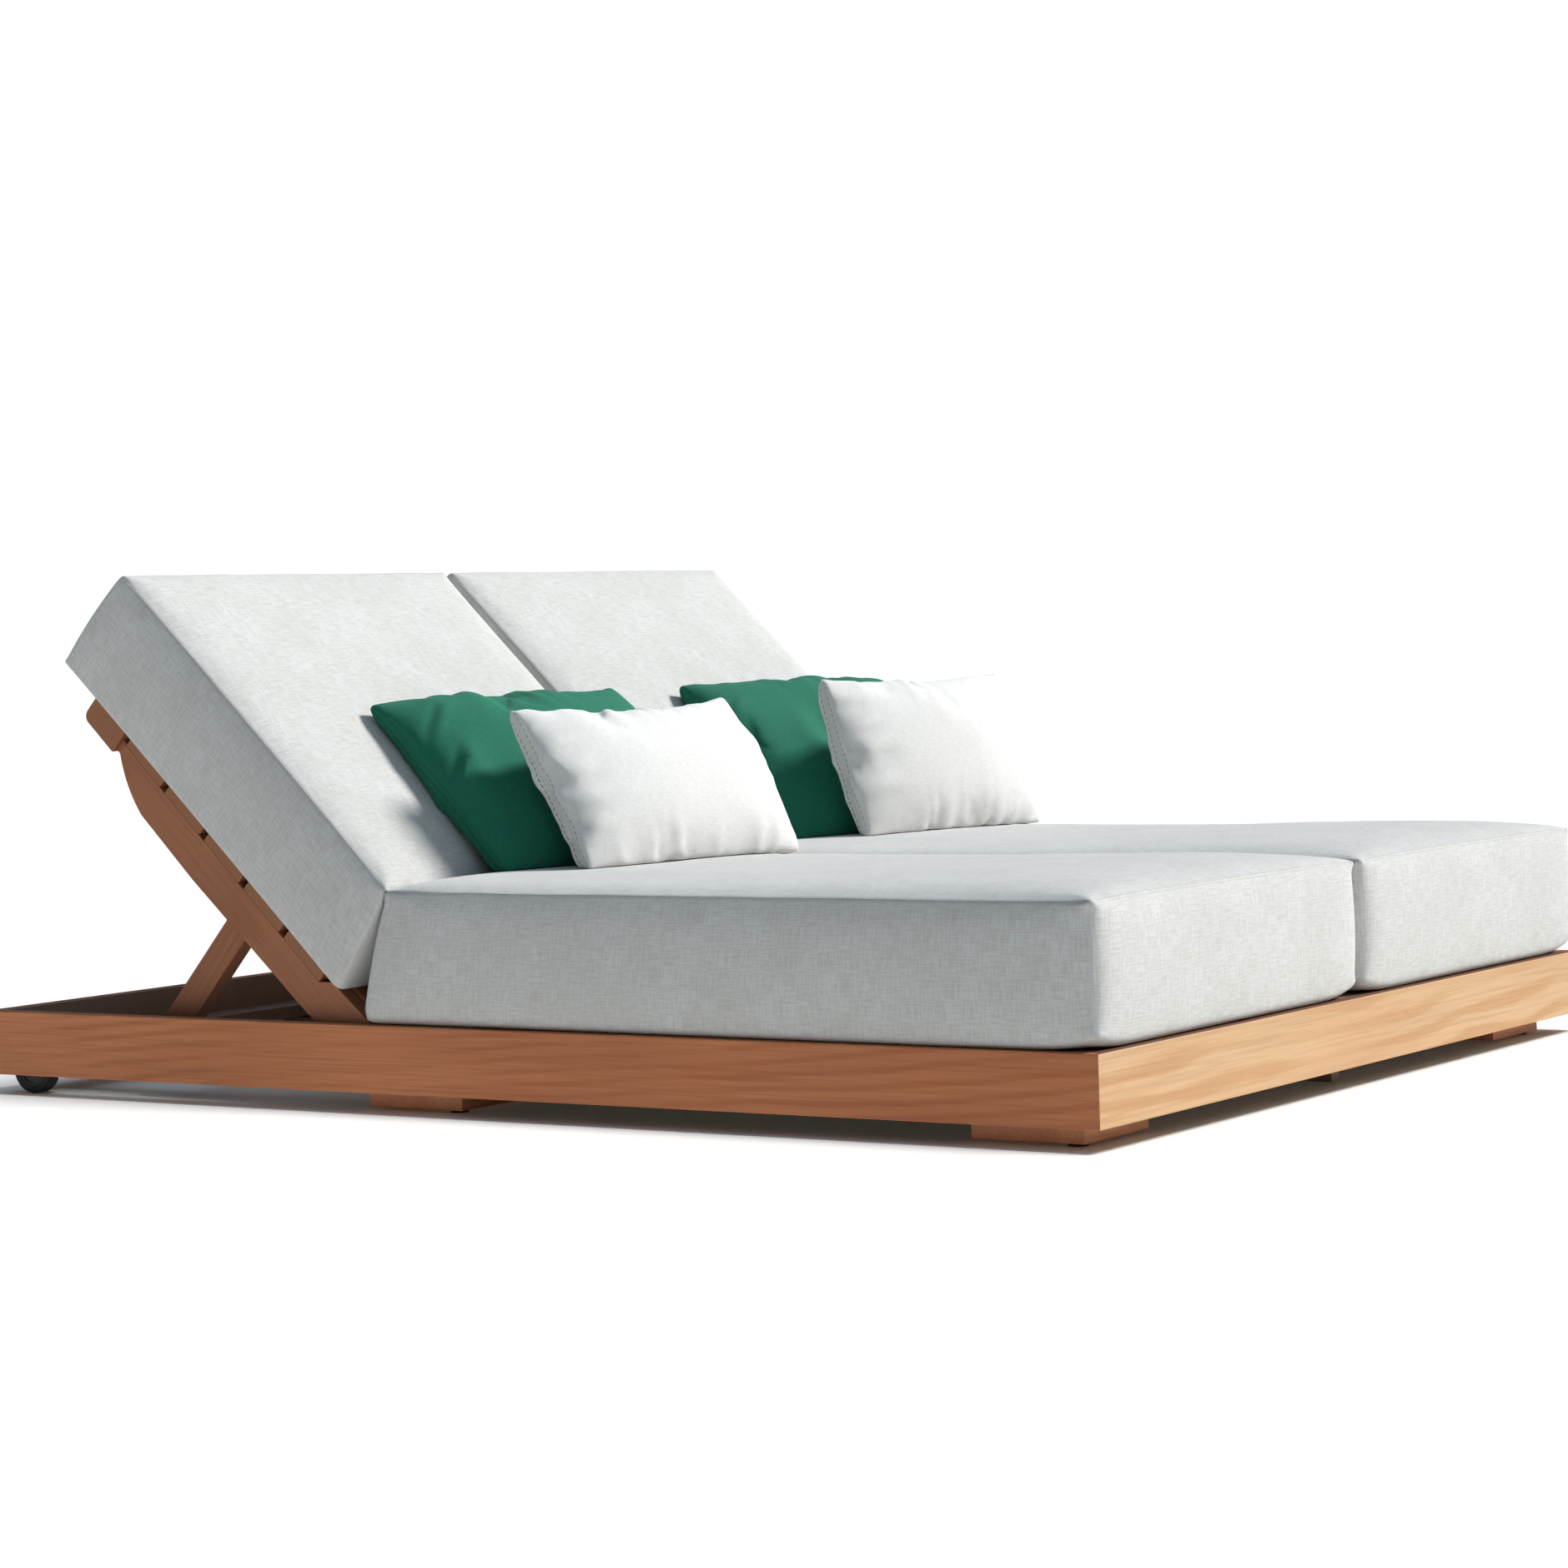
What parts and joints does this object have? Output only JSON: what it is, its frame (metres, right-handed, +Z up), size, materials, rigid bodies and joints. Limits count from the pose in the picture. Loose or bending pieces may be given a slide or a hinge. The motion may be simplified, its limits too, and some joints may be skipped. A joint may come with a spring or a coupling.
{
  "type": "double chaise lounger",
  "caption": "Low double sun lounger: wooden base, two seat cushions, two reclining backrests on folding props, loose pillows, feet and head-end wheels.",
  "frame": {"origin": "on the ground under the middle of the base", "axes": "+Y along the length to the head end, +X across, +Z up"},
  "size_m": [1.6, 2.01, 0.81],
  "materials": {
    "teak": "oiled, satin",
    "wood_dowel": "plain",
    "stainless_steel": "brushed",
    "black_plastic": "matt",
    "black_rubber": "matt",
    "grey_weave": "melange plain weave",
    "green_cloth": "plain weave",
    "light_linen": "linen weave with contrast stitching"
  },
  "bodies": {
    "root": {"side_rail_left": "teak", "side_rail_right": "teak", "foot_rail": "teak", "head_rail": "teak", "centre_beam": "teak", "side_ledger_left": "teak", "side_ledger_right": "teak", "foot_bearers": "teak", "middle_bearers": "teak", "seat_slats": "teak", "foot_pad_foot_left": "teak", "foot_pad_foot_right": "teak", "foot_pad_middle_left": "teak", "foot_pad_middle_right": "teak", "prop_racks": "teak", "back_rest_boards": "teak", "mitre_dowels": "wood_dowel", "hinge_pins": "stainless_steel", "wheel_axles": "stainless_steel", "foot_screws": "stainless_steel", "foot_glides": "black_plastic", "seat_cushion_left": "grey_weave", "seat_cushion_right": "grey_weave"},
    "back_left": {"back_rail_outer_left": "teak", "back_rail_inner_left": "teak", "back_cross_rail_left": "teak", "back_top_board_left": "teak", "back_slat_left_1": "teak", "back_slat_left_2": "teak", "back_slat_left_3": "teak", "back_slat_left_4": "teak", "back_slat_left_5": "teak", "prop_pins_left": "stainless_steel", "back_cushion_left": "grey_weave", "green_pillow_left": "green_cloth", "lumbar_pillow_left": "light_linen"},
    "prop_left": {"prop_leg_outer_left": "teak", "prop_leg_inner_left": "teak", "prop_bar_left": "stainless_steel"},
    "wheel_left": {"wheel_tyre_left": "black_rubber", "wheel_hub_left": "black_plastic"},
    "back_right": {"back_rail_outer_right": "teak", "back_rail_inner_right": "teak", "back_cross_rail_right": "teak", "back_top_board_right": "teak", "back_slat_right_1": "teak", "back_slat_right_2": "teak", "back_slat_right_3": "teak", "back_slat_right_4": "teak", "back_slat_right_5": "teak", "prop_pins_right": "stainless_steel", "back_cushion_right": "grey_weave", "green_pillow_right": "green_cloth", "lumbar_pillow_right": "light_linen"},
    "prop_right": {"prop_leg_outer_right": "teak", "prop_leg_inner_right": "teak", "prop_bar_right": "stainless_steel"},
    "wheel_right": {"wheel_tyre_right": "black_rubber", "wheel_hub_right": "black_plastic"}
  },
  "joints": [
    {"name": "back_left_recline", "type": "hinge", "parent": "root", "child": "back_left", "pos_m": [-0.4, 0.2505, 0.108], "axis": [1, 0, 0], "range_deg": [-43.7, 0]},
    {"name": "prop_left_fold", "type": "hinge", "parent": "back_left", "child": "prop_left", "pos_m": [-0.4, 0.49315, 0.297], "axis": [1, 0, 0], "range_deg": [0, 91.77]},
    {"name": "wheel_left_spin", "type": "hinge", "parent": "root", "child": "wheel_left", "pos_m": [-0.7575, 0.936, 0.04], "axis": [1, 0, 0], "continuous": true},
    {"name": "back_right_recline", "type": "hinge", "parent": "root", "child": "back_right", "pos_m": [0.4, 0.2505, 0.108], "axis": [1, 0, 0], "range_deg": [-43.7, 0]},
    {"name": "prop_right_fold", "type": "hinge", "parent": "back_right", "child": "prop_right", "pos_m": [0.4, 0.49315, 0.297], "axis": [1, 0, 0], "range_deg": [0, 91.77]},
    {"name": "wheel_right_spin", "type": "hinge", "parent": "root", "child": "wheel_right", "pos_m": [0.7575, 0.936, 0.04], "axis": [1, 0, 0], "continuous": true}
  ],
  "couplings": [
    {"joint": "prop_left_fold", "follows": "back_left_recline", "ratio": -2.1},
    {"joint": "prop_right_fold", "follows": "back_right_recline", "ratio": -2.1}
  ]
}
